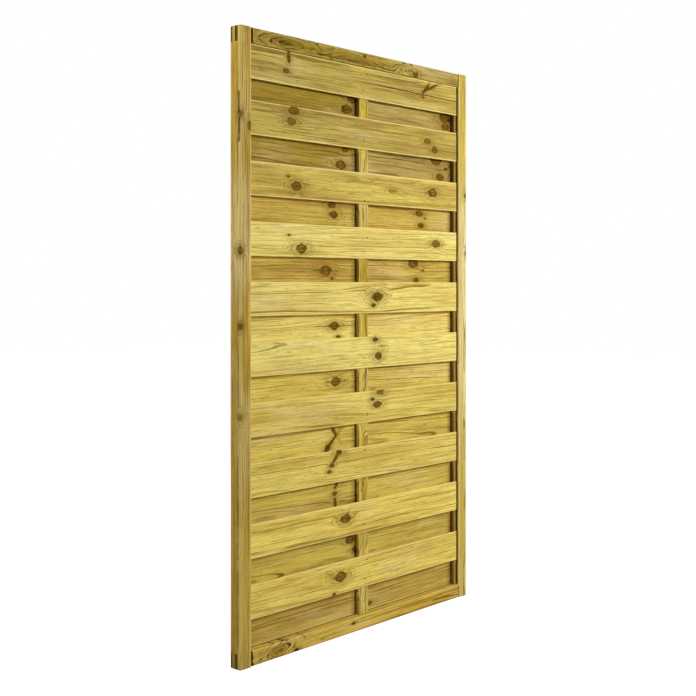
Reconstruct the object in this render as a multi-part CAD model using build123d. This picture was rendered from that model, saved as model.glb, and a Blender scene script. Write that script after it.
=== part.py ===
from build123d import *
import os

# Privacy fence panel in pressure-treated softwood, with horizontal slats.
# Two stiles and two rails make a frame, comb-jointed at the corners. Inside it stand
# a bead against each stile and a batten in the middle. Slats are nailed across the
# front and the back of these uprights, and each row covers the gaps of the other.
# Lengths are in millimetres. X runs along the panel, Y from the front to the back
# and Z up. The origin is in the middle of the left stile's outer face.

# Frame
panel_width = 1050
panel_height = 1800
frame_face = 44
frame_depth = 44
frame_round = 6

# Comb joints: stile and rail fingers by turns from the front face to the back face
finger_pairs = 2
finger_end_recess = 0.5
left_shoulder_gap = 4
right_shoulder_gap = 0.5

# Uprights inside the frame
batten_thickness = 18
batten_width = 42
batten_off_middle = 5
bead_width = 10
upright_round = 1.5

# Slats
slat_rows = 10
slat_width = 97.5
slat_thickness = 6
slat_round = 1.5
slat_left_gap = 3
slat_right_gap = 6
slat_seat_gap = 1

# Places that follow from the sizes above
panel_foot = -panel_height / 2
panel_head = panel_height / 2
front_face = -frame_depth / 2
opening_left = frame_face
opening_right = panel_width - frame_face
opening_foot = panel_foot + frame_face
opening_head = panel_head - frame_face
opening_height = opening_head - opening_foot
finger_thickness = frame_depth / (2 * finger_pairs)
batten_x = panel_width / 2 + batten_off_middle
slat_pitch = opening_height / slat_rows
front_slat_y = -(batten_thickness + slat_thickness) / 2
back_slat_y = (batten_thickness + slat_thickness) / 2


def upright(width, depth, edge_round, x_middle, foot, length):
    """A planed timber standing on end, with its four long edges rounded."""
    section = RectangleRounded(width, depth, edge_round)
    return extrude(Plane.XY.offset(foot) * Pos(x_middle, 0) * section, length)


def lying(depth, height, edge_round, x_start, length, y_middle, z_middle):
    """A planed timber lying along the panel, with its four long edges rounded."""
    section = RectangleRounded(depth, height, edge_round)
    return extrude(Plane.YZ.offset(x_start) * Pos(y_middle, z_middle) * section, length)


def layer(number, x_start, x_end, z_start, z_end):
    """The block that one layer of a comb joint takes up, counted from the front face."""
    y_start = front_face + number * finger_thickness
    block = Box(
        x_end - x_start,
        finger_thickness,
        z_end - z_start,
        align=(Align.MIN, Align.MIN, Align.MIN),
    )
    return Pos(x_start, y_start, z_start) * block


def stile(x_start):
    """An upright of the frame, with open slots at both ends for the rails' fingers."""
    x_end = x_start + frame_face
    x_middle = (x_start + x_end) / 2
    timber = upright(frame_face, frame_depth, frame_round, x_middle, panel_foot, panel_height)
    for pair in range(finger_pairs):
        rail_layer = 2 * pair + 1
        timber -= layer(rail_layer, x_start, x_end, opening_head, panel_head)
        timber -= layer(rail_layer, x_start, x_end, panel_foot, opening_foot)
    return timber


def rail(z_start):
    """A cross-piece of the frame, cut away at both ends around the stiles' fingers.

    Its own fingers are rounded at their ends where they come out at the stiles' rounded edges.
    """
    z_end = z_start + frame_face
    z_middle = (z_start + z_end) / 2
    left_end = finger_end_recess
    right_end = panel_width - finger_end_recess
    left_shoulder = opening_left + left_shoulder_gap
    right_shoulder = opening_right - right_shoulder_gap
    length = right_end - left_end
    timber = lying(frame_depth, frame_face, frame_round, left_end, length, 0, z_middle)
    plan = Pos((left_end + right_end) / 2, 0) * RectangleRounded(length, frame_depth, frame_round)
    timber &= extrude(Plane.XY.offset(z_start) * plan, frame_face)
    for pair in range(finger_pairs):
        stile_layer = 2 * pair
        timber -= layer(stile_layer, left_end, left_shoulder, z_start, z_end)
        timber -= layer(stile_layer, right_shoulder, right_end, z_start, z_end)
    return timber


def batten(width, x_middle):
    """An upright between the rails, which the slats are nailed to."""
    return upright(width, batten_thickness, upright_round, x_middle, opening_foot, opening_height)


def slat(y_middle, z_foot):
    """A thin board across the opening, short of both stiles by its end gaps."""
    x_start = opening_left + slat_left_gap
    length = opening_right - slat_right_gap - x_start
    z_middle = z_foot + slat_width / 2
    return lying(slat_thickness, slat_width, slat_round, x_start, length, y_middle, z_middle)


def back_slat_foot(row):
    """Height of a back slat's lower edge. Row 1 is the top one, the last sits on the rail."""
    return opening_foot + (slat_rows - row) * slat_pitch


def front_slat_foot(row):
    """Height of a front slat's lower edge, half a pitch above the back slat of its row.

    The top one would run into the rail, so it is lowered until it fits below it.
    """
    regular = back_slat_foot(row) + slat_pitch / 2
    highest = opening_head - slat_seat_gap - slat_width
    return min(regular, highest)


pieces = {
    "left_stile": stile(0),
    "right_stile": stile(opening_right),
    "top_rail": rail(opening_head),
    "bottom_rail": rail(panel_foot),
    "left_bead": batten(bead_width, opening_left + bead_width / 2),
    "centre_batten": batten(batten_width, batten_x),
    "right_bead": batten(bead_width, opening_right - bead_width / 2),
}
for row in range(1, slat_rows + 1):
    pieces[f"front_slat_{row:02d}"] = slat(front_slat_y, front_slat_foot(row))
    pieces[f"back_slat_{row:02d}"] = slat(back_slat_y, back_slat_foot(row))

os.makedirs("parts", exist_ok=True)
for name, shape in pieces.items():
    export_step(shape, f"parts/{name}.step")
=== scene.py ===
import math

import bpy
import numpy as np
from mathutils import Euler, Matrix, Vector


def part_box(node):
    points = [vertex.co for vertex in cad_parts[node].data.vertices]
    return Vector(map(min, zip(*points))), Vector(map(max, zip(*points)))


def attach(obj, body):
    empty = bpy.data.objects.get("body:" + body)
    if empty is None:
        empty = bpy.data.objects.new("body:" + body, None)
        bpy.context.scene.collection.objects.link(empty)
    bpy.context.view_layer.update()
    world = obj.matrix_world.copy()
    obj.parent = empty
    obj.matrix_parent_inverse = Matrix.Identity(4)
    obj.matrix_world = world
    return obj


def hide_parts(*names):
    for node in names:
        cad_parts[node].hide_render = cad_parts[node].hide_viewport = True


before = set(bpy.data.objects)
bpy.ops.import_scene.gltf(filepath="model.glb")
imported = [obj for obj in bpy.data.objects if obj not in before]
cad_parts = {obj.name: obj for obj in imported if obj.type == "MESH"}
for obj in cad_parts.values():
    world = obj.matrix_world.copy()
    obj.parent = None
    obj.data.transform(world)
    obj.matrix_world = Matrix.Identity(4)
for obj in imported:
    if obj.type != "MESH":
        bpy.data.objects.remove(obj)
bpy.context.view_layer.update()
mm = 0.001


# Left stile
# The upright of the frame at the panel's left end, planed softwood of 44 by 44 mm with rounded long edges.
# Two fingers at each end interlock with two fingers of the rail there in a comb joint.
frame_corner = 6 * mm
corner_steps = 4
frame_spacing = 9 * mm
station_spacing = 7 * mm
finger_count = 4
sharp_edge = math.radians(38)

# The hollow round a knot and the rise over its heart: height, and place and spread in half widths
hollow_depth, hollow_radius, hollow_spread = 0.35 * mm, 1.05, 0.4
heart_rise, heart_spread = 0.12 * mm, 0.6


def merged(*lines):
    """All lattice lines in order and each one once, to a tenth of a micrometre."""
    return np.unique(np.round(np.concatenate(lines), 7))


def lattice_lines(half, corner, spacing, extra=()):
    """Lattice lines from -half to half: close over both rounded corners, even between them."""
    rounding = corner * np.linspace(0, 1, corner_steps + 1)
    flat = half - corner
    even = np.linspace(-flat, flat, max(2, round(2 * flat / spacing) + 1))
    return merged(rounding - half, even, half - rounding, extra)


def round_corners(through, across, half_through, half_across, corner):
    """Carries a square section onto one with quarter circles at its corners.

    With p and q running from 0 to 1 over a corner's square, a point moves to p times the root of
    (1 - q squared / 2) and q times the root of (1 - p squared / 2).
    """
    p = np.clip((np.abs(through) - half_through) / corner + 1, 0, 1)
    q = np.clip((np.abs(across) - half_across) / corner + 1, 0, 1)
    depth = np.minimum(np.abs(through), half_through - corner) + corner * p * np.sqrt(1 - q * q / 2)
    width = np.minimum(np.abs(across), half_across - corner) + corner * q * np.sqrt(1 - p * p / 2)
    return np.sign(through) * depth, np.sign(across) * width


def skin(solid):
    """Corner numbers of every cell face of a lattice that borders on air, turned outwards."""
    count = np.array(solid.shape) + 1
    number = np.arange(count.prod()).reshape(count)
    padded = np.pad(solid, 1).astype(int)
    quads = []
    for axis in range(3):
        order = (axis, (axis + 1) % 3, (axis + 2) % 3)
        corner = number.transpose(order)
        step = np.diff(padded.transpose(order), axis=0)[:, 1:-1, 1:-1]
        loop = [corner[:, :-1, :-1], corner[:, 1:, :-1], corner[:, 1:, 1:], corner[:, :-1, 1:]]
        faces = np.stack(loop, axis=-1)
        quads += [faces[step < 0], faces[step > 0][:, ::-1]]
    return np.concatenate(quads)


def knot(along, across, half, long=1.7, dark=0.6, rim=0.75, tail=1.0, turn=(0, 0, 0), through=0.0,
         rings=1.6):
    """One knot of a board.

    Its middle, counted from the board's middle, and its half width are in millimetres. Its length is in
    widths, its turn in degrees and its tail's reach in half lengths. Dark and rim say how strong its heart
    and its outline are, and rings says how far the growth rings close round it.
    """
    return {
        "Middle": np.array([along, through, across]) * mm,
        "Half": np.array([half * long, half, half]) * mm,
        "Turn": np.radians(turn),
        "Heart": dark,
        "Outline": rim,
        "Tail": tail,
        "Rings": rings,
    }


def knot_radius(points, one):
    """Distance of points from the line through a knot, in half widths along and across the grain."""
    turned = np.array(Euler(one["Turn"]).to_matrix())
    own = (points - one["Middle"]) @ turned / one["Half"]
    return np.hypot(own[..., 0], own[..., 2])


def knot_relief(points, knots):
    """How far the planed face stands back at each point, where the wood shrank off its knots.

    Each knot adds a bell curve about its outline, less a lower one about its heart.
    """
    depth = np.zeros(points.shape[:-1])
    for one in knots:
        radius = knot_radius(points, one)
        hollow = hollow_depth * np.exp(-(((radius - hollow_radius) / hollow_spread) ** 2))
        depth += hollow - heart_rise * np.exp(-((radius / heart_spread) ** 2))
    return np.maximum(depth, 0)


def add_piece(name, mesh):
    """A mesh as a piece of the panel, smooth over its rounded edges and sharp where it turns more."""
    mesh.shade_smooth()
    mesh.set_sharp_from_angle(angle=sharp_edge)
    piece = bpy.data.objects.new(name, mesh)
    bpy.context.scene.collection.objects.link(piece)
    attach(piece, "root")
    return piece


def timber(node, centre, upright, solid, along, through, across, material, split=None):
    """One board: the skin of a lattice of cells, put in place, with the mask of its cracks."""
    used, corners = np.unique(skin(solid), return_inverse=True)
    points = np.stack([along, through, across], axis=-1).reshape(-1, 3)[used]
    if upright:
        points = points[:, ::-1] * (-1, 1, 1)
    mesh = bpy.data.meshes.new(node + "_timber")
    mesh.from_pydata((points + centre).tolist(), [], corners.reshape(-1, 4).tolist())
    if split is not None:
        mesh.attributes.new("split", "FLOAT", "POINT").data.foreach_set("value", split.ravel()[used])
    mesh.materials.append(material)
    piece = add_piece(node + "_timber", mesh)
    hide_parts(node)


def measure(node, upright):
    """Middle of a CAD node and its half sizes along, through and across the board."""
    low, high = map(np.array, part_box(node))
    half = (high - low) / 2
    return (low + high) / 2, half[::-1] if upright else half


def put(tree, kind, inputs=(), **settings):
    """Adds one node and gives its outputs. Inputs go by name or number, each with a number or a link."""
    node = tree.nodes.new("ShaderNode" + kind)
    for name, value in settings.items():
        setattr(node, name, value)
    for socket, value in dict(inputs).items():
        if isinstance(value, bpy.types.NodeSocket):
            tree.links.new(value, node.inputs[socket])
        else:
            node.inputs[socket].default_value = value
    return node.outputs


def calc(tree, operation, *values):
    """The result of one Math node."""
    return put(tree, "Math", enumerate(values), operation=operation)[0]


def arrow(tree, operation, *values):
    """The result of one Vector Math node."""
    return put(tree, "VectorMath", enumerate(values), operation=operation)[0]


def parts(tree, vector):
    """The three parts of a vector."""
    return put(tree, "SeparateXYZ", {0: vector})


def fade(tree, value, start, end, low=0.0, high=1.0):
    """A smooth step from low to high while the value runs from start to end."""
    inputs = {"Value": value, "From Min": start, "From Max": end, "To Min": low, "To Max": high}
    return put(tree, "MapRange", inputs, interpolation_type="SMOOTHSTEP")[0]


def stretch(tree, place, seed, scale, detail=2.0, roughness=0.5):
    """Noise drawn out along the grain, with its three scales in waves for each metre."""
    drawn = arrow(tree, "MULTIPLY_ADD", place, scale, seed)
    return put(tree, "TexNoise", {"Vector": drawn, "Scale": 1.0, "Detail": detail, "Roughness": roughness})[0]


def line_noise(tree, where, detail):
    """Noise along a line, as a number and as a colour."""
    return put(tree, "TexNoise", {"W": where, "Scale": 1.0, "Detail": detail}, noise_dimensions="1D")


def blend(tree, amount, first, second, blend_type="MIX"):
    """One colour laid over another."""
    inputs = {0: amount, 6: first, 7: second}
    return put(tree, "Mix", inputs, data_type="RGBA", blend_type=blend_type)[2]


def paint(red, green, blue):
    """A colour as it is seen, in steps of 255, as the shader's linear numbers."""
    shown = np.array([red, green, blue]) / 255
    linear = np.where(shown > 0.04045, ((shown + 0.055) / 1.055) ** 2.4, shown / 12.92)
    return (*linear.tolist(), 1.0)


def new_group(name, inputs, outputs):
    """An empty node group, the outputs of its first node and the inputs of its last.

    Its sockets come by kind, with their names in one line.
    """
    group = bpy.data.node_groups.new(name, "ShaderNodeTree")
    for side, sockets in (("INPUT", inputs), ("OUTPUT", outputs)):
        for kind, labels in sockets.items():
            for label in labels.split(", "):
                group.interface.new_socket(label, in_out=side, socket_type="NodeSocket" + kind)
    return group, group.nodes.new("NodeGroupInput").outputs, group.nodes.new("NodeGroupOutput").inputs


def hand_over(group, made, results):
    """Links a group's results to its last node, and gives the group."""
    for label, link in results.items():
        group.links.new(link, made[label])
    return group


def knot_group():
    """A knot, handed on from one to the next along a chain.

    In the knot's own space kx and kz count in its half lengths and half widths. The grain is pushed aside by
    0.8 half widths times kz, over the larger of 1 and (kx / 1.5) squared + kz squared to the power of 1.3, so
    that its lines part round the knot. A cone is added to the distance from the pith, which closes the rings
    round the knot's middle.
    """
    carried = "Bend, Lift, Cover, Dark, Rim, Glow"
    sockets = {"Vector": "Place, Middle, Turn, Half", "Float": carried + ", Heart, Outline, Tail, Rings"}
    group, given, made = new_group("knot", sockets, {"Float": carried})
    inputs = {"Vector": given["Place"], "Location": given["Middle"], "Rotation": given["Turn"],
              "Scale": given["Half"]}
    local = put(group, "Mapping", inputs, vector_type="TEXTURE")[0]
    kx, _, kz = parts(group, local)
    width = parts(group, given["Half"])[2]
    shift = arrow(group, "MULTIPLY", given["Middle"], (61.0, 0.0, 47.0))
    shift = arrow(group, "MULTIPLY_ADD", local, (1.1, 0.0, 1.1), shift)
    noise = put(group, "TexNoise", {"Vector": shift, "Scale": 1.0, "Detail": 4.0, "Roughness": 0.62})
    ragged = calc(group, "MULTIPLY_ADD", noise[0], 2.0, -1.0)
    specks = parts(group, noise[1])[1]

    # The grain parts and its rings close round the knot
    square = calc(group, "MULTIPLY", kz, kz)
    circle = calc(group, "SQRT", calc(group, "MULTIPLY_ADD", kx, kx, square))
    radius = calc(group, "MULTIPLY_ADD", ragged, 0.6, circle)
    drawn = calc(group, "DIVIDE", kx, 1.5)
    lens = calc(group, "MULTIPLY_ADD", drawn, drawn, square)
    away = calc(group, "POWER", calc(group, "MAXIMUM", lens, 1.0), 1.3)
    push = calc(group, "MULTIPLY", calc(group, "DIVIDE", kz, away), calc(group, "MULTIPLY", width, 0.8))
    cone = calc(group, "MULTIPLY", width, given["Rings"])
    cone = calc(group, "MULTIPLY", fade(group, circle, 3.4, 0.0), cone)

    # Its heart, with fine rings of its own and dark specks
    body = calc(group, "MULTIPLY", calc(group, "ADD", given["Heart"], given["Outline"]), 2.0)
    body = calc(group, "MINIMUM", body, 1.0)
    cover = calc(group, "MULTIPLY", fade(group, radius, 1.1, 0.9), body)
    own_rings = calc(group, "PINGPONG", calc(group, "MULTIPLY", radius, 4.2), 0.5)
    heart = fade(group, own_rings, 0.1, 0.45, 0.55, 1.15)
    heart = calc(group, "MULTIPLY", calc(group, "MULTIPLY", heart, given["Heart"]), cover)
    dots = calc(group, "MULTIPLY", cover, fade(group, specks, 0.56, 0.64, 0.0, 0.5))
    heart = calc(group, "MINIMUM", calc(group, "ADD", heart, dots), 1.0)

    # Its broken outline, the cracked tail along the grain, and ripples further out
    rim = calc(group, "MULTIPLY", fade(group, radius, 0.58, 0.86), fade(group, radius, 1.3, 1.06))
    rim = calc(group, "MULTIPLY", rim, fade(group, specks, 0.36, 0.52, 0.55, 1.0))
    rim = calc(group, "MULTIPLY", rim, given["Outline"])
    tail = fade(group, calc(group, "ABSOLUTE", calc(group, "MULTIPLY_ADD", ragged, 0.5, kz)), 0.2, 0.05)
    reach = calc(group, "SUBTRACT", given["Tail"], calc(group, "ABSOLUTE", kx))
    tail = calc(group, "MULTIPLY", tail, fade(group, reach, 0.0, 0.8, 0.0, 0.8))
    outer = calc(group, "MULTIPLY_ADD", ragged, 0.35, calc(group, "SQRT", lens))
    ripple = fade(group, calc(group, "PINGPONG", calc(group, "MULTIPLY", outer, 1.7), 0.5), 0.3, 0.48)
    ripple = calc(group, "MULTIPLY", ripple, fade(group, outer, 3.3, 1.3))
    ripple = calc(group, "MULTIPLY", ripple, calc(group, "MULTIPLY", given["Rings"], 0.32))
    ripple = calc(group, "MULTIPLY", ripple, fade(group, specks, 0.42, 0.6, 0.1, 1.0))
    rim = calc(group, "MAXIMUM", rim, calc(group, "MAXIMUM", tail, ripple))

    # The resin that stains the wood round it
    glow = fade(group, calc(group, "ADD", calc(group, "SQRT", lens), ragged), 2.6, 0.8)
    glow = calc(group, "MULTIPLY", glow, body)
    return hand_over(group, made, {
        "Bend": calc(group, "SUBTRACT", given["Bend"], push),
        "Lift": calc(group, "ADD", given["Lift"], cone),
        "Cover": calc(group, "MAXIMUM", given["Cover"], cover),
        "Dark": calc(group, "MAXIMUM", given["Dark"], heart),
        "Rim": calc(group, "MAXIMUM", given["Rim"], rim),
        "Glow": calc(group, "MAXIMUM", given["Glow"], glow),
    })


dark_line_sway = 5 * mm
dark_line_waves = 16.0
dark_line_taper = 8 * mm


def dark_line_group():
    """A dark line along the grain, such as a pith streak or a shake, from one place to another.

    Its mask falls off with the distance from a line that wavers by noise, and is broken up by noise along it.
    Some lines are flaws of the wood, and others are painted shade in corners where parts meet.
    """
    measures = "Vein, Through, Across, From, To, Slope, Half width, Depth, Faint, Force"
    group, given, made = new_group("vein", {"Vector": "Place", "Float": measures}, {"Float": "Vein"})
    along, through, across = parts(group, given["Place"])
    waver = line_noise(group, calc(group, "MULTIPLY_ADD", along, dark_line_waves, given["From"]), 2.0)
    start = calc(group, "SUBTRACT", along, given["From"])
    line = calc(group, "MULTIPLY_ADD", start, given["Slope"], given["Across"])
    line = calc(group, "MULTIPLY_ADD", calc(group, "SUBTRACT", waver[0], 0.5), dark_line_sway, line)
    aside = calc(group, "DIVIDE", calc(group, "SUBTRACT", across, line), given["Half width"])
    deep = calc(group, "DIVIDE", calc(group, "SUBTRACT", through, given["Through"]), given["Depth"])
    away = calc(group, "MULTIPLY_ADD", aside, aside, calc(group, "MULTIPLY", deep, deep))
    mask = fade(group, calc(group, "SQRT", away), 1.0, 0.35)
    reach = calc(group, "MINIMUM", start, calc(group, "SUBTRACT", given["To"], along))
    mask = calc(group, "MULTIPLY", mask, fade(group, reach, 0.0, dark_line_taper))
    broken = fade(group, parts(group, waver[1])[1], 0.36, 0.56, given["Faint"], 1.0)
    mask = calc(group, "MULTIPLY", calc(group, "MULTIPLY", mask, broken), given["Force"])
    return hand_over(group, made, {"Vein": calc(group, "MAXIMUM", given["Vein"], mask)})


ring_shiver = 1.4 * mm


def grain_group():
    """The grain of one softwood board.

    A ring number is the distance from a pith line, which leans and wavers along the board, over the ring
    width, made uneven by noise along that distance. The late wood darkens towards the end of each ring.
    """
    sockets = {"Vector": "Place",
               "Float": "Bend, Lift, Seed, Pith depth, Pith side, Lean, Ring width, Waver, Waver rate"}
    results = {"Float": "Late wood, Dark streak, Pale streak, Fibre, Band, Bloom, Fleck"}
    group, given, made = new_group("grain", sockets, results)
    seed = arrow(group, "MULTIPLY", given["Seed"], (3.7, 7.1, 5.3))
    place = arrow(group, "ADD", given["Place"], put(group, "CombineXYZ", {2: given["Bend"]})[0])
    along, through, across = parts(group, place)

    # The distance from the wavering pith, with what the knots add
    rate = put(group, "CombineXYZ", {0: given["Waver rate"], 1: 4.0, 2: 4.0})[0]
    slow = arrow(group, "MULTIPLY_ADD", place, rate, seed)
    waver = put(group, "TexNoise", {"Vector": slow, "Scale": 1.0, "Detail": 2.0})[1]
    sway, dip, _ = parts(group, arrow(group, "SUBTRACT", waver, (0.5, 0.5, 0.5)))
    depth = calc(group, "MULTIPLY_ADD", along, given["Lean"], given["Pith depth"])
    depth = calc(group, "MULTIPLY_ADD", dip, given["Waver"], depth)
    side = calc(group, "MULTIPLY_ADD", sway, given["Waver"], given["Pith side"])
    down = calc(group, "SUBTRACT", through, depth)
    out = calc(group, "SUBTRACT", across, side)
    distance = calc(group, "SQRT", calc(group, "MULTIPLY_ADD", down, down, calc(group, "MULTIPLY", out, out)))
    distance = calc(group, "ADD", distance, given["Lift"])
    shiver = stretch(group, place, seed, (14.0, 60.0, 60.0))
    distance = calc(group, "MULTIPLY_ADD", shiver, ring_shiver, distance)

    # Rings of uneven width, each with late wood of its own strength, fainter in patches
    ring = calc(group, "DIVIDE", distance, given["Ring width"])
    uneven = line_noise(group, calc(group, "MULTIPLY_ADD", ring, 0.45, given["Seed"]), 1.0)[0]
    ring = calc(group, "MULTIPLY_ADD", uneven, 3.0, ring)
    part = calc(group, "FRACT", ring)
    age = calc(group, "ADD", calc(group, "FLOOR", ring), given["Seed"])
    strength = put(group, "TexWhiteNoise", {"W": age}, noise_dimensions="1D")[0]
    late = calc(group, "MULTIPLY", fade(group, part, 0.56, 0.88), fade(group, part, 1.0, 0.95))
    patches = stretch(group, place, seed, (5.0, 40.0, 40.0))
    strength = calc(group, "MULTIPLY_ADD", calc(group, "POWER", strength, 1.4), 1.2, 0.25)
    strength = calc(group, "MULTIPLY", strength, fade(group, patches, 0.34, 0.58, 0.25, 1.0))
    late = calc(group, "MINIMUM", calc(group, "MULTIPLY", late, strength), 1.0)

    streak = stretch(group, place, seed, (5.0, 220.0, 220.0), 1.5)
    bloom = arrow(group, "ADD", seed, (31.0, 17.0, 23.0))
    return hand_over(group, made, {
        "Late wood": late,
        "Dark streak": fade(group, streak, 0.56, 0.68),
        "Pale streak": fade(group, streak, 0.44, 0.32),
        "Fibre": stretch(group, place, seed, (12.0, 300.0, 300.0), 3.0, 0.7),
        "Band": stretch(group, place, seed, (2.2, 20.0, 20.0), 3.0),
        "Bloom": fade(group, stretch(group, place, bloom, (3.0, 14.0, 14.0), 3.0), 0.5, 0.68),
        "Fleck": fade(group, stretch(group, place, seed, (28.0, 330.0, 330.0), 1.0), 0.62, 0.72),
    })


# Pale wood, and also the painted light over the right half of the umber boards.
bleached_and_lit = paint(242, 220, 160)
# The colour of the painted highlight along the boards' edges.
painted_edge_highlight = paint(242, 222, 132)
resin = paint(150, 116, 32)
knot_brown = paint(154, 122, 44)
heartwood = paint(94, 66, 10)
# Also the colour of the dark lines, some of which are painted shade.
knot_ring_and_shade = paint(62, 40, 4)
end_grain = paint(70, 46, 6)
# Painted shade in the gaps of the joints and down the cracks.
painted_crevice_shade = paint(36, 20, 2)


def finish_group():
    """The colour, roughness and relief of pressure-treated softwood from its grain, knots, edges and ends.

    The colour is built up in layers, each with a mask, a strength and a colour. The edges get a painted
    highlight, and the joints, cracks and some corners where parts meet get painted shade. The relief adds
    up fibres and late wood, and flecks and knot outlines are sunk. Its heights are in millimetres.
    """
    masks = ("Late wood, Dark streak, Pale streak, Fibre, Band, Bloom, Patch, Fleck, Cover, Dark, Rim, Glow, "
             "Vein, Arris, End, Joint, Split, Edge light, Edge width")
    group, given, made = new_group("treated softwood", {"Float": masks, "Color": "Early, Late, Tint"},
                                   {"Color": "Colour", "Float": "Roughness, Height"})
    colour = blend(group, fade(group, given["Band"], 0.38, 0.64), given["Early"], given["Tint"])
    wood = [
        (given["Bloom"], 0.28, bleached_and_lit),
        (given["Patch"], 1.0, bleached_and_lit),
        (given["Pale streak"], 0.7, given["Early"]),
        (given["Dark streak"], 0.42, given["Late"]),
        (given["Late wood"], 1.0, given["Late"]),
    ]
    for mask, strength, shade in wood:
        colour = blend(group, calc(group, "MULTIPLY", mask, strength), colour, shade)
    lively = fade(group, given["Fibre"], 0.3, 0.7, 0.84, 1.12)
    lively = put(group, "CombineColor", {0: lively, 1: lively, 2: lively})[0]
    colour = blend(group, 1.0, colour, lively, "MULTIPLY")
    # A painted highlight along the arrises, strongest at the edge and fading over the edge width.
    edge_highlight_mask = fade(group, given["Arris"], given["Edge width"], calc(group, "MULTIPLY", given["Edge width"], 0.4))
    marks = [
        (given["Fleck"], 0.45, given["Late"]),
        (edge_highlight_mask, given["Edge light"], painted_edge_highlight),
        (given["Glow"], 0.45, resin),
        (given["Cover"], 1.0, blend(group, given["Dark"], knot_brown, heartwood)),
        (given["Rim"], 0.9, knot_ring_and_shade),
        # Dark lines: flaws of the wood, and painted shade in corners where parts meet.
        (given["Vein"], 0.7, knot_ring_and_shade),
        (given["End"], 0.85, end_grain),
        # Painted shade in the gaps between a joint's fingers and in the cracks.
        (calc(group, "MAXIMUM", given["Joint"], given["Split"]), 1.0, painted_crevice_shade),
    ]
    for mask, strength, shade in marks:
        colour = blend(group, calc(group, "MULTIPLY", mask, strength), colour, shade)
    relief = 0.0
    for mask, height in (("Fibre", 0.22), ("Late wood", 0.16), ("Fleck", -0.2), ("Rim", -0.25)):
        relief = calc(group, "MULTIPLY_ADD", given[mask], height * mm, relief)
    roughness = fade(group, given["Fibre"], 0.2, 0.8, 0.9, 0.72)
    return hand_over(group, made, {"Colour": colour, "Roughness": roughness, "Height": relief})


knot_nodes = knot_group()
dark_line_nodes = dark_line_group()
grain_nodes = grain_group()
finish_nodes = finish_group()


def vein(start, end, across, through, half=1.6, slope=0.0, depth=3.0, faint=0.3, force=1.0):
    """One dark line of a board, measured from the board's middle in millimetres.

    Faint is what is left of it where it is broken, and force its strength elsewhere.
    """
    return {"From": start * mm, "To": end * mm, "Across": across * mm, "Through": through * mm,
            "Half width": half * mm, "Slope": slope, "Depth": depth * mm, "Faint": faint, "Force": force}


def look(early, late, tint, depth=30, side=10, lean=0.02, ring=8, edge=0.35, edge_width=5, waver=30,
         rate=1.6, pale=(0, 0, 0)):
    """How one board was sawn: its colours, where its pith lies, how that leans and wavers, and its rings.

    Lengths are in millimetres. Its edges carry a painted highlight over their width, and a pale stretch
    has its two ends, counted from the board's middle, and its strength.
    """
    return {
        "Grain": {"Pith depth": depth * mm, "Pith side": side * mm, "Lean": lean, "Ring width": ring * mm,
                  "Waver": waver * mm, "Waver rate": rate},
        "Finish": {"Early": paint(*early), "Late": paint(*late), "Tint": paint(*tint), "Edge light": edge,
                   "Edge width": edge_width * mm},
        "Pale": (pale[0] * mm, pale[1] * mm, pale[2]),
    }


joint_shade, joint_line = 2.2 * mm, 0.8 * mm
pale_wander = 0.3
pale_fade = 0.2


def timber_material(name, centre, half, upright, seed, sawn, knots=(), dark_lines=(), finger=0.0):
    """The material of one board: its place in space, its knots one after another, its grain and its finish.

    At the ends of a comb joint, lines of painted shade part the fingers, whose thickness is given.
    """
    material = bpy.data.materials.new(name)
    material.use_nodes = True
    tree = material.node_tree
    where = put(tree, "TexCoord")
    turn = (0, -math.pi / 2, 0) if upright else (0, 0, 0)
    inputs = {"Vector": where["Object"], "Location": tuple(centre), "Rotation": turn}
    place = put(tree, "Mapping", inputs, vector_type="TEXTURE")[0]
    facing = put(tree, "Mapping", {"Vector": where["Normal"], "Rotation": turn}, vector_type="TEXTURE")[0]
    carried = {}
    for one in knots:
        carried = dict(put(tree, "Group", {"Place": place, **one, **carried}, node_tree=knot_nodes).items())
    dark_line_masks = {}
    for one in dark_lines:
        dark_line_masks = dict(put(tree, "Group", {"Place": place, **one, **dark_line_masks}, node_tree=dark_line_nodes).items())
    inputs = {"Place": place, "Seed": seed, **sawn["Grain"]}
    inputs |= {label: carried.pop(label) for label in ("Bend", "Lift") if carried}
    grain = dict(put(tree, "Group", inputs, node_tree=grain_nodes).items())

    # How near a point is to the board's long edges and ends, and to the lines between its fingers
    gap = arrow(tree, "SUBTRACT", (1.0, half[1], half[2]), arrow(tree, "ABSOLUTE", place))
    _, inset, reach = parts(tree, gap)
    end = fade(tree, calc(tree, "ABSOLUTE", parts(tree, facing)[0]), 0.15, 0.5)
    inputs = {"Arris": calc(tree, "MAXIMUM", inset, reach), "End": end,
              "Split": put(tree, "Attribute", attribute_name="split")["Fac"]}
    if finger:
        border = calc(tree, "PINGPONG", inset, finger / 2)
        inputs["Joint"] = calc(tree, "MULTIPLY", end, fade(tree, border, joint_shade, joint_line))
    pale_from, pale_to, paleness = sawn["Pale"]
    if paleness:
        along = calc(tree, "MULTIPLY_ADD", grain["Band"], pale_wander, parts(tree, place)[0])
        inside = calc(tree, "MINIMUM", calc(tree, "SUBTRACT", along, pale_from),
                      calc(tree, "SUBTRACT", pale_to, along))
        inputs["Patch"] = fade(tree, inside, 0.0, pale_fade, 0.0, paleness)
    inputs |= grain | dark_line_masks | carried | sawn["Finish"]
    colour, roughness, height = put(tree, "Group", inputs, node_tree=finish_nodes)

    shader = tree.nodes["Principled BSDF"].inputs
    shader["Specular IOR Level"].default_value = 0.03
    tree.links.new(colour, shader["Base Color"])
    tree.links.new(roughness, shader["Roughness"])
    tree.links.new(put(tree, "Bump", {"Height": height, "Distance": 1.0})[0], shader["Normal"])
    return material


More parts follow.
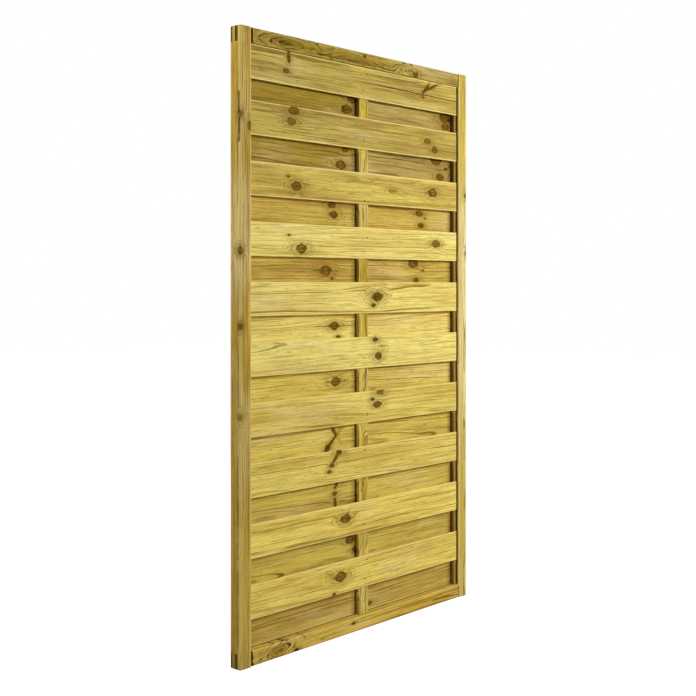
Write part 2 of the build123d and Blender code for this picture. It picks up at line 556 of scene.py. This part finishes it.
def frame_timber(node, upright, seed, sawn, comb, knots, dark_lines=()):
    """A frame member with its comb ends.

    The comb gives both shoulders and the layers, counted from the front, whose lattice cells stop there.
    """
    centre, half = measure(node, upright)
    middle = centre[2] if upright else centre[0]
    start, end, short_layers = comb
    start, end = start - middle, end - middle
    layers = np.linspace(-half[1], half[1], finger_count + 1)
    across = lattice_lines(half[2], frame_corner, frame_spacing)
    through = lattice_lines(half[1], frame_corner, frame_spacing, layers[1:-1])
    steps = round(2 * half[0] / station_spacing)
    along = merged(np.linspace(-half[0], half[0], steps), (start, end))
    cells = [(line[1:] + line[:-1]) / 2 for line in (along, through, across)]
    cell_along, cell_through, _ = np.meshgrid(*cells, indexing="ij")
    layer = ((cell_through + half[1]) / (2 * half[1]) * finger_count).astype(int)
    beyond = (cell_along < start) | (cell_along > end)
    solid = ~(beyond & np.isin(np.clip(layer, 0, finger_count - 1), short_layers))
    s, t, a = np.meshgrid(along, through, across, indexing="ij")
    t, a = round_corners(t, a, half[1], half[2], frame_corner)
    if not upright:
        beyond_flat = np.clip(np.abs(t) - (half[1] - frame_corner), 0, frame_corner)
        reach = half[0] - frame_corner + np.sqrt(frame_corner**2 - beyond_flat**2)
        s = np.clip(s, -reach, reach)
    sink = knot_relief(np.stack([s, t, a], axis=-1), knots)
    t = t * (1 - sink / half[1])
    a = a * (1 - sink / half[2])
    finger = 2 * half[1] / finger_count
    material = timber_material(node, centre, half, upright, seed, sawn, knots, dark_lines, finger)
    timber(node, centre, upright, solid, s, t, a, material)


opening_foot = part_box("bottom_rail")[1].z
opening_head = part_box("top_rail")[0].z
stile_layers_cut = (1, 3)
stile_comb = (opening_foot, opening_head, stile_layers_cut)

ochre = look((200, 166, 76), (124, 92, 24), (176, 142, 54), depth=-14, side=16, lean=0.004, ring=6,
             edge=0.55, edge_width=9, pale=(230, 760, 0.5))
frame_timber("left_stile", upright=True, seed=1.0, sawn=ochre, comb=stile_comb, knots=[
    knot(652, 20, 6, long=1.3, dark=0.0, rim=0.45, tail=0.5, turn=(45, 0, 0), through=-20, rings=3.5),
    knot(270, 20, 6, long=1.5, dark=0.1, rim=0.45, tail=0.5, turn=(45, 0, 0), through=-20, rings=3.5),
    knot(58, 20, 5, long=1.6, dark=0.5, rim=0.6, tail=0.5, turn=(45, 0, 0), through=-20, rings=3.0),
    knot(-195, 20, 5, long=1.8, dark=0.0, rim=0.3, tail=0.5, turn=(45, 0, 0), through=-20, rings=3.0),
    knot(622, -14, 9, long=1.5, dark=0.5, rim=0.2, tail=0.5, through=-22, rings=0.0),
], dark_lines=[
    vein(650, 720, 22, -16, half=9, depth=4.5, faint=0.8, force=1.3),
    vein(570, 648, 22, -17, half=9, depth=4.5, faint=0.8, force=1.3),
    vein(720, 856, 14, -22, half=1.4, faint=0.2, force=0.8),
    vein(60, 262, 14, -22, half=1.4, faint=0.0, force=0.6),
    vein(-840, -300, 22, -12, half=9, depth=3.5, faint=0.1, force=0.9),
])


# Right stile
# The same upright at the panel's right end, from a paler, straighter piece of the same timber, with the same
# comb joints at its ends.
light_ochre = look((218, 192, 96), (150, 118, 38), (202, 174, 80), depth=-40, side=-10, lean=0.01, ring=6,
                   edge=0.8, edge_width=8, pale=(-150, 740, 0.8))
frame_timber("right_stile", upright=True, seed=2.0, sawn=light_ochre, comb=stile_comb, knots=[
    knot(483, -21, 8, long=1.4, dark=0.4, rim=0.6, turn=(-45, 0, 0), through=-21),
    knot(283, -21, 6, long=1.6, dark=0.3, rim=0.6, turn=(-45, 0, 0), through=-21),
], dark_lines=[
    vein(250, 330, -12, -22, half=1.2, slope=-0.08),
    # Painted shade down the stile's inner face, in the recess beside the slats' ends.
    vein(-856, 856, 22, -8, half=6, depth=10, faint=1.0, force=1.35),
])


# Top and bottom rails
# The cross-pieces of the frame. Their fingers run out between the stiles' fingers, so that dark end
# grain shows on the panel's outer sides. At the left the shoulders stop short of the stile.
left_shoulder_gap = 4 * mm
right_shoulder_gap = 0.5 * mm
left_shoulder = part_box("left_stile")[1].x + left_shoulder_gap
right_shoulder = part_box("right_stile")[0].x - right_shoulder_gap
rail_layers_cut = (0, 2)
rail_comb = (left_shoulder, right_shoulder, rail_layers_cut)

shaded = look((184, 158, 70), (92, 68, 12), (158, 132, 48), depth=-30, side=4, lean=0.03, ring=6,
              pale=(220, 700, 0.3))
frame_timber("top_rail", upright=False, seed=3.0, sawn=shaded, comb=rail_comb, knots=[
    knot(-346, -3, 16, long=3.0, dark=0.0, rim=0.0, through=-22, rings=3.4),
    knot(-60, -12, 14, long=3.4, dark=0.0, rim=0.0, through=-22, rings=2.0),
    knot(-5, 10, 5.5, long=1.0, dark=1.0, rim=1.0, through=-22, rings=0.0),
    knot(203, -7, 10, long=2.4, dark=0.0, rim=0.0, through=-22, rings=3.6),
    knot(245, -13, 7, dark=0.7, rim=0.9, through=-22),
], dark_lines=[vein(472, 540, 0, -22, half=50, faint=1.0)])

brown = look((226, 192, 88), (136, 100, 24), (202, 166, 66), depth=-34, side=-6, lean=0.03, ring=6)
frame_timber("bottom_rail", upright=False, seed=4.0, sawn=brown, comb=rail_comb, knots=[
    knot(-304, -17, 6, long=1.3, dark=1.0, rim=1.0, tail=0.5, through=-20, rings=0.0),
    knot(-376, -2, 13, long=2.6, dark=0.1, rim=0.1, turn=(0, -10, 0), through=-22, rings=4.0),
    knot(-56, 7, 3.5, dark=1.0, rim=1.0, tail=4.0, through=-22),
], dark_lines=[
    vein(-350, -324, 17, -22, half=3.5, slope=-0.7, faint=1.0, force=1.3),
    vein(-314, -292, -17, -20, half=7, depth=6, faint=1.0, force=1.4),
    # Painted shade along the rail's top face at the back, under the lowest back slat.
    vein(-478, 482, 22, 8, half=6, depth=5, faint=0.8, force=1.2),
    vein(472, 540, 0, -22, half=50, faint=1.0),
])


# Beads and centre batten
# Planed uprights between the rails, 18 mm thick: narrow beads nailed against the stiles, which carry the
# slats' ends, and a batten of 42 mm in the middle, sawn near the heart, with steep pointed grain.
upright_corner = 1.5 * mm
upright_spacing = 6 * mm
crack_sway, crack_waves = 0.8 * mm, (31, 13)
crack_pull = 8 * mm
crack_taper = 30 * mm


def plain_timber(node, upright, seed, sawn, corner, spacing, knots=(), dark_lines=(), cracks=(), bow=0.0):
    """A straight board without joints, with its ends cut square.

    Between its middle and its ends it bows by the square of a sine. A crack is a groove one lattice line
    wide, where the board's front face is pushed in and darkened with painted shade. It has a start and an
    end along the board, how far across the board it is at the first and at the last, its width and its
    depth. Its path sways by two sines.
    """
    centre, half = measure(node, upright)
    extra = [(first + last) / 2 + side for _, _, first, last, width, _ in cracks
             for side in (-width, 0, width)]
    across = lattice_lines(half[2], corner, spacing, extra)
    through = lattice_lines(half[1], corner, spacing)
    along = np.linspace(-half[0], half[0], round(2 * half[0] / station_spacing))
    s, t, a = np.meshgrid(along, through, across, indexing="ij")
    solid = np.ones(np.array(s.shape) - 1, bool)
    row = a.copy()
    t, a = round_corners(t, a, half[1], half[2], corner)
    sink = knot_relief(np.stack([s, t, a], axis=-1), knots)
    t = t - np.sign(t) * np.minimum(sink, np.abs(t))
    split = np.zeros(s.shape)
    for start, end, first, last, width, depth in cracks:
        middle = (first + last) / 2
        part = np.clip((s - start) / (end - start), 0, 1)
        path = first + (last - first) * part - middle
        path += crack_sway * np.sin(part * crack_waves[0]) * np.sin(part * crack_waves[1])
        a = a + path * np.clip(1.5 - np.abs(row - middle) / crack_pull, 0, 1)
        taper = np.clip((s - start) / crack_taper, 0, 1) * np.clip((end - s) / crack_taper, 0, 1)
        # The crack's mask, which darkens its groove with painted shade.
        here = np.isclose(row, middle, atol=width / 4) & (t < 0)
        split = np.where(here, taper, split)
        t = t + np.where(here & (t < corner - half[1]), depth * taper, 0)
    t = t + bow * np.sin(np.pi * s / half[0]) ** 2
    material = timber_material(node, centre, half, upright, seed, sawn, knots, dark_lines)
    timber(node, centre, upright, solid, s, t, a, material, split)


bead_look = look((160, 120, 44), (106, 72, 12), (134, 94, 28), depth=-60, side=20, lean=0.01, ring=5)
batten_look = look((226, 198, 92), (92, 66, 0), (190, 158, 54), depth=-10, side=0, lean=0.0, ring=8,
                   waver=110, rate=5, pale=(440, 700, 0.6))
uprights = {
    "left_bead": (5.0, bead_look, []),
    # The batten's and the right bead's dark lines are painted shade along their left faces, in the corner
    # against the back slats.
    "centre_batten": (6.0, batten_look, [vein(-856, 856, 21, 8, half=6, depth=7, faint=1.0, force=1.2)]),
    "right_bead": (7.0, bead_look, [vein(-856, 856, 5, 8, half=6, depth=7, faint=1.0, force=1.2)]),
}
for node, (seed, sawn, dark_lines) in uprights.items():
    plain_timber(node, upright=True, seed=seed, sawn=sawn, corner=upright_corner,
                 spacing=upright_spacing, dark_lines=dark_lines)


# Back slats
# Ten planed boards, 6 mm thick, nailed across the back of the beads and the batten. Each stands behind
# a gap of the front row, where it lies in shade.
slat_rows = range(1, 11)
slat_corner = 1.5 * mm
slat_spacing = 5 * mm
slat_bow = 0.8 * mm
straw_tones = ((240, 220, 124), (154, 124, 38), (228, 202, 110))
pale_straw = look(*straw_tones, depth=34, side=40, ring=6, edge=0.8)
cream = look(*straw_tones, depth=60, side=90, ring=5, edge=0.8)
straw = look((234, 210, 108), (144, 114, 32), (216, 186, 90), depth=30, side=-55, ring=6.5, edge=0.8)
gold = look((244, 218, 110), (146, 114, 30), (226, 194, 92), depth=30, side=-55, ring=6.5, edge=0.8)
wheat = look((220, 196, 98), (130, 100, 24), (194, 164, 82), depth=36, side=30, ring=6, edge=0.8)
honey = look((226, 202, 96), (140, 108, 28), (206, 178, 88), depth=34, side=-35, ring=6, edge=0.8)
amber = look((215, 190, 88), (132, 102, 26), (196, 167, 82), depth=34, side=-35, ring=6, edge=0.7)
olive = look((200, 178, 88), (108, 84, 16), (172, 144, 72), depth=32, side=50, ring=6.5, edge=0.8)
tan = look((208, 180, 86), (124, 92, 20), (188, 152, 74), depth=28, side=60, ring=5.5, edge=0.7)
# Umber boards are paler over their right half: painted light falling from the right.
umber = look((170, 144, 56), (94, 68, 6), (148, 116, 46), depth=36, side=-40, ring=6, edge=0.7,
             pale=(0, 900, 0.2))
slat_middle = measure("back_slat_01", False)[0][0] / mm


def slat_knot(x, across, half, **more):
    """A knot of a slat, placed along the panel from its left face."""
    return knot(x - slat_middle, across, half, **more)


# The umber boards of the top two rows are darker partly by painted shade: the panel darkens towards its top.
back_looks = [umber, umber, tan, tan, pale_straw, honey, honey, amber, amber, tan]
back_knots = {
    1: [slat_knot(493, 19, 10, dark=0.8), slat_knot(471, -13, 13, dark=0.8),
        slat_knot(965, 14, 16, dark=0.9), slat_knot(990, 8, 6, dark=1.0), slat_knot(968, -16, 11, dark=0.7)],
    2: [slat_knot(464, 33, 8, dark=0.8), slat_knot(443, -17, 12), slat_knot(918, 36, 15, dark=0.8),
        slat_knot(971, 10, 5, dark=1.0), slat_knot(940, -20, 11, dark=0.7)],
    3: [slat_knot(403, 29, 9, dark=0.8), slat_knot(411, -1, 10, dark=0.8), slat_knot(829, 22, 9),
        slat_knot(858, 7, 3, dark=1.0), slat_knot(836, -17, 8, dark=0.8), slat_knot(380, -44, 7, long=3.0)],
    4: [slat_knot(376, -2, 14, long=1.5, dark=0.5, tail=3.0), slat_knot(797, 26, 13, dark=0.5),
        slat_knot(847, 3, 3, dark=1.0), slat_knot(812, -29, 8), slat_knot(405, -26, 4, dark=0.9)],
    5: [slat_knot(414, 0, 11, dark=0.7, tail=5.0), slat_knot(432, -34, 5)],
    6: [slat_knot(421, 0, 12, dark=0.5, tail=3.0)],
    7: [slat_knot(397, -17, 5, long=7.0, dark=0.8, turn=(0, -42, 0)),
        slat_knot(384, -29, 9, long=1.5, dark=0.7, turn=(0, -40, 0)),
        slat_knot(414, 17, 5, long=3.4, dark=0.7, turn=(0, 50, 0))],
    8: [slat_knot(424, 26, 5, long=3.0, dark=0.8, turn=(0, -60, 0)), slat_knot(416, -2, 6, dark=0.6),
        slat_knot(418, -30, 6, long=2.6, dark=0.7, turn=(0, 80, 0))],
    9: [slat_knot(485, 16, 11), slat_knot(510, -18, 8)],
    10: [slat_knot(574, -29, 6, long=2.5)],
}
for row in slat_rows:
    plain_timber(f"back_slat_{row:02d}", upright=False, seed=10.0 + row,
                 sawn=back_looks[row - 1], corner=slat_corner, spacing=slat_spacing, knots=back_knots[row],
                 bow=slat_bow * math.sin(5.0 * row))


# Front slats
# Ten more of the same boards across the front, half a pitch higher than the back ones. The top
# one stands a little lower than that, so that it fits under the rail.
# The olive boards of the top two rows are darker partly by painted shade: the panel darkens towards its top.
front_looks = [olive, olive, wheat, cream, pale_straw, pale_straw, straw, straw, gold, gold]
front_knots = {
    1: [slat_knot(196, 33, 17, long=0.42, dark=0.9, rim=0.6), slat_knot(185, -9, 6, rim=0.9),
        slat_knot(834, 22, 5, long=4.2, dark=1.0, rim=0.9, turn=(0, -47, 0)),
        slat_knot(857, 27, 4, long=9, dark=0.9, turn=(0, -22, 0)),
        slat_knot(818, -8, 5, long=1.0, dark=0.9)],
    2: [slat_knot(217, 37, 11, dark=0.5), slat_knot(206, 4, 10, dark=0.3), slat_knot(841, 6, 9, dark=0.3),
        slat_knot(880, -20, 10, long=1.2, dark=0.5)],
    3: [slat_knot(228, -12, 13, long=1.3, dark=0.6, rings=2.4), slat_knot(194, 14, 3, dark=0.9, tail=3.0),
        slat_knot(869, 7, 12, dark=0.2, rim=0.9, tail=2.5),
        slat_knot(667, 1, 8, long=2.5, dark=0.0, rim=0.2)],
    4: [slat_knot(248, -24, 12, long=1.6, dark=0.1, rim=1.0, rings=3.0),
        slat_knot(196, 15, 3, dark=1.0, tail=6.0), slat_knot(888, 7, 11, dark=0.2)],
    5: [slat_knot(588, 3, 13, dark=0.9, rings=3.0), slat_knot(570, -24, 6, dark=0.9)],
    6: [slat_knot(578, 39, 7, dark=0.8), slat_knot(593, -14, 11, long=1.4, dark=0.6, rings=2.0),
        slat_knot(606, 16, 10, long=1.3, dark=0.0, rim=0.0, rings=2.6)],
    7: [slat_knot(565, 22, 5, dark=0.9), slat_knot(588, 4, 10, dark=0.6),
        slat_knot(603, 44, 10, dark=0.2, rim=0.4)],
    8: [slat_knot(410, 43, 7, dark=0.6), slat_knot(396, 28, 5, long=4.5, dark=0.7, turn=(0, -45, 0)),
        slat_knot(378, 6, 6, dark=0.6), slat_knot(367, -12, 5, dark=0.6)],
    9: [slat_knot(441, 6, 12, dark=0.3, rim=0.9, tail=2.0, rings=2.5)],
    10: [slat_knot(417, 4, 13, dark=0.3, rim=0.8, rings=2.5), slat_knot(388, -44, 4, dark=0.8)],
}


def slat_crack(start, end, first, last, width, depth):
    """A crack of a slat in millimetres, with its start and end placed along the panel from its left face."""
    return np.array([start - slat_middle, end - slat_middle, first, last, width, depth]) * mm


front_cracks = {
    1: [slat_crack(568, 1020, first=3.0, last=-1.2, width=2.2, depth=3.0)],
    2: [slat_crack(95, 420, first=-30.0, last=-33.0, width=1.2, depth=1.2)],
    9: [slat_crack(560, 760, first=-22.0, last=-20.0, width=1.2, depth=1.2)],
}
for row in slat_rows:
    plain_timber(f"front_slat_{row:02d}", upright=False, seed=30.0 + row,
                 sawn=front_looks[row - 1], corner=slat_corner, spacing=slat_spacing, knots=front_knots[row],
                 cracks=front_cracks.get(row, ()), bow=slat_bow * math.sin(3.0 * row))


# Nails
# Galvanized wire nails, driven from the front and the back through the slats into the batten, with their
# round heads set nearly flush with the face.
nail_radius = 2.6 * mm
nail_steps = 16
nail_profile = np.array([(0.55, 0.22), (0.8, 0.16), (0.95, 0.05), (1.0, -0.1), (1.0, -0.5)])
nail_stagger = 9 * mm
front_nail_heights = {1: (29, -23), 2: (-21,), 3: (-39,), 4: (17, -26), 5: (23,), 6: (-18,), 7: (-24,),
                      8: (37, -21), 9: (-23,), 10: (35, -23)}
back_nail_heights = dict.fromkeys(slat_rows, (26, -28))

nail_steel = bpy.data.materials.new("nail_steel")
nail_steel.use_nodes = True
tree = nail_steel.node_tree
shader = tree.nodes["Principled BSDF"].inputs
shader["Metallic"].default_value = 0.2
shader["Specular IOR Level"].default_value = 0.1
spots = put(tree, "TexNoise", {"Vector": put(tree, "TexCoord")["Object"], "Scale": 900.0, "Detail": 3.0})[0]
steel = blend(tree, fade(tree, spots, 0.35, 0.65), paint(56, 40, 10), paint(84, 64, 24))
tree.links.new(steel, shader["Base Color"])
tree.links.new(fade(tree, spots, 0.3, 0.7, 0.8, 0.6), shader["Roughness"])


def nail_heads(name, places, outward):
    """Round nail heads: one profile turned about each nail's line, closed by a flat face at both ends.

    The profile's half widths and heights are in half widths of a nail.
    """
    angle = np.linspace(0, 2 * np.pi, nail_steps, endpoint=False)
    radius, height = nail_profile.T[:, :, None] * nail_radius
    ring = np.stack([radius * np.cos(angle), outward * (height + 0 * angle), radius * np.sin(angle)], axis=-1)
    points = ring.reshape(-1, 3) + np.array(places)[:, None]
    number = np.arange(len(nail_profile) * nail_steps).reshape(-1, nail_steps)
    following = np.roll(number, -1, axis=1)
    sides = np.stack([number[:-1], number[1:], following[1:], following[:-1]], axis=-1).reshape(-1, 4)
    caps = np.stack([number[0], number[-1, ::-1]])
    first = number.size * np.arange(len(places))[:, None, None]
    faces = []
    for shell in (sides, caps):
        faces += (shell[:, ::-outward] + first).reshape(-1, shell.shape[1]).tolist()
    mesh = bpy.data.meshes.new(name)
    mesh.from_pydata(points.reshape(-1, 3).tolist(), [], faces)
    mesh.materials.append(nail_steel)
    piece = add_piece(name, mesh)


batten_x = measure("centre_batten", True)[0][0]
for side, outward, nail_heights in (("front", -1, front_nail_heights), ("back", 1, back_nail_heights)):
    places = []
    for row in slat_rows:
        centre, half = measure(f"{side}_slat_{row:02d}", False)
        for nail, height in enumerate(nail_heights[row]):
            x = batten_x + nail_stagger * math.sin(2.0 * row + 2.3 * nail)
            places.append((x, centre[1] + outward * half[1], centre[2] + height * mm))
    nail_heads(f"{side}_nails", places, outward)


# Floor
# A plain grey studio floor under the panel's foot, matt and without a seam. To the camera it glows white,
# a little less so near the panel, where its soft shadow falls.
floor_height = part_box("left_stile")[0].z
floor_reach = 14.0
floor_grey = 0.45
under_panel = (0.5, 0.0, floor_height)
near, near_glow = 1.0, 0.92
far, far_glow = 3.5, 1.0
white = (1, 1, 1, 1)


def seen(tree):
    """One for rays from the camera, also off gloss or through glass, and none for all other rays."""
    ray = put(tree, "LightPath")
    onward = calc(tree, "MAXIMUM", ray["Is Glossy Ray"], ray["Is Transmission Ray"])
    return calc(tree, "MAXIMUM", ray["Is Camera Ray"], onward)


corners = [(-1, -1), (1, -1), (1, 1), (-1, 1)]
floor_mesh = bpy.data.meshes.new("floor")
floor_mesh.from_pydata([(x * floor_reach, y * floor_reach, floor_height) for x, y in corners], [],
                       [(0, 1, 2, 3)])
floor = bpy.data.objects.new("floor", floor_mesh)
bpy.context.scene.collection.objects.link(floor)
floor_paint = bpy.data.materials.new("floor")
floor_paint.use_nodes = True
tree = floor_paint.node_tree
shader = tree.nodes["Principled BSDF"].inputs
shader["Base Color"].default_value = (floor_grey, floor_grey, floor_grey, 1)
shader["Roughness"].default_value = 0.9
shader["Specular IOR Level"].default_value = 0.0
shader["Emission Color"].default_value = white
inputs = {0: put(tree, "TexCoord")["Object"], 1: under_panel}
away = put(tree, "VectorMath", inputs, operation="DISTANCE")["Value"]
glow = calc(tree, "MULTIPLY", seen(tree), fade(tree, away, near, far, near_glow, far_glow))
tree.links.new(glow, shader["Emission Strength"])
floor_mesh.materials.append(floor_paint)


# Light
# A small lamp in front, a little to the right, one at the right, a weak one overhead and two behind. The
# surround is white to the camera and dim to everything else.
panel_heart = (0.525, 0.0, 0.0)
surround_light = 0.11


def lamp(name, place, target, size, power):
    """A square area lamp that faces its target."""
    light = bpy.data.lights.new(name, "AREA")
    light.size = size
    light.energy = power
    piece = bpy.data.objects.new(name, light)
    piece.location = place
    towards = np.array(target) - np.array(place)
    yaw = math.atan2(towards[1], towards[0]) - math.pi / 2
    pitch = math.atan2(towards[2], math.hypot(towards[0], towards[1])) + math.pi / 2
    piece.rotation_euler = (pitch, 0, yaw)
    bpy.context.scene.collection.objects.link(piece)


lamp("key", (1.2, -3.4, 1.1), panel_heart, 0.4, 60)
lamp("right", (2.8, -2.2, 1.0), panel_heart, 0.8, 50)
lamp("overhead", (0.6, -1.5, 2.6), panel_heart, 1.2, 5)
lamp("back_left", (-1.7, 0.9, 1.4), panel_heart, 1.0, 44)
lamp("back", (0.8, 2.8, 0.9), panel_heart, 1.6, 40)
world = bpy.data.worlds.new("surround")
bpy.context.scene.world = world
world.use_nodes = True
tree = world.node_tree
sky = tree.nodes["Background"].inputs
sky["Color"].default_value = white
tree.links.new(fade(tree, seen(tree), 0.0, 1.0, surround_light, 1.0), sky["Strength"])


# Camera
# At eye height to the left of the panel, level, with its frame shifted down so that the
# panel's uprights stay upright.
eye = (-2.0995, -2.3647, 0.173)
heading = math.radians(47.34)
camera_data = bpy.data.cameras.new("camera")
camera_data.lens = 58.21
camera_data.sensor_width = 36
camera_data.shift_y = -0.0899
camera_data.clip_end = 100
camera = bpy.data.objects.new("camera", camera_data)
camera.location = eye
camera.rotation_euler = (math.pi / 2, 0, -heading)
bpy.context.scene.collection.objects.link(camera)
bpy.context.scene.camera = camera
bpy.context.scene.view_settings.view_transform = "Standard"
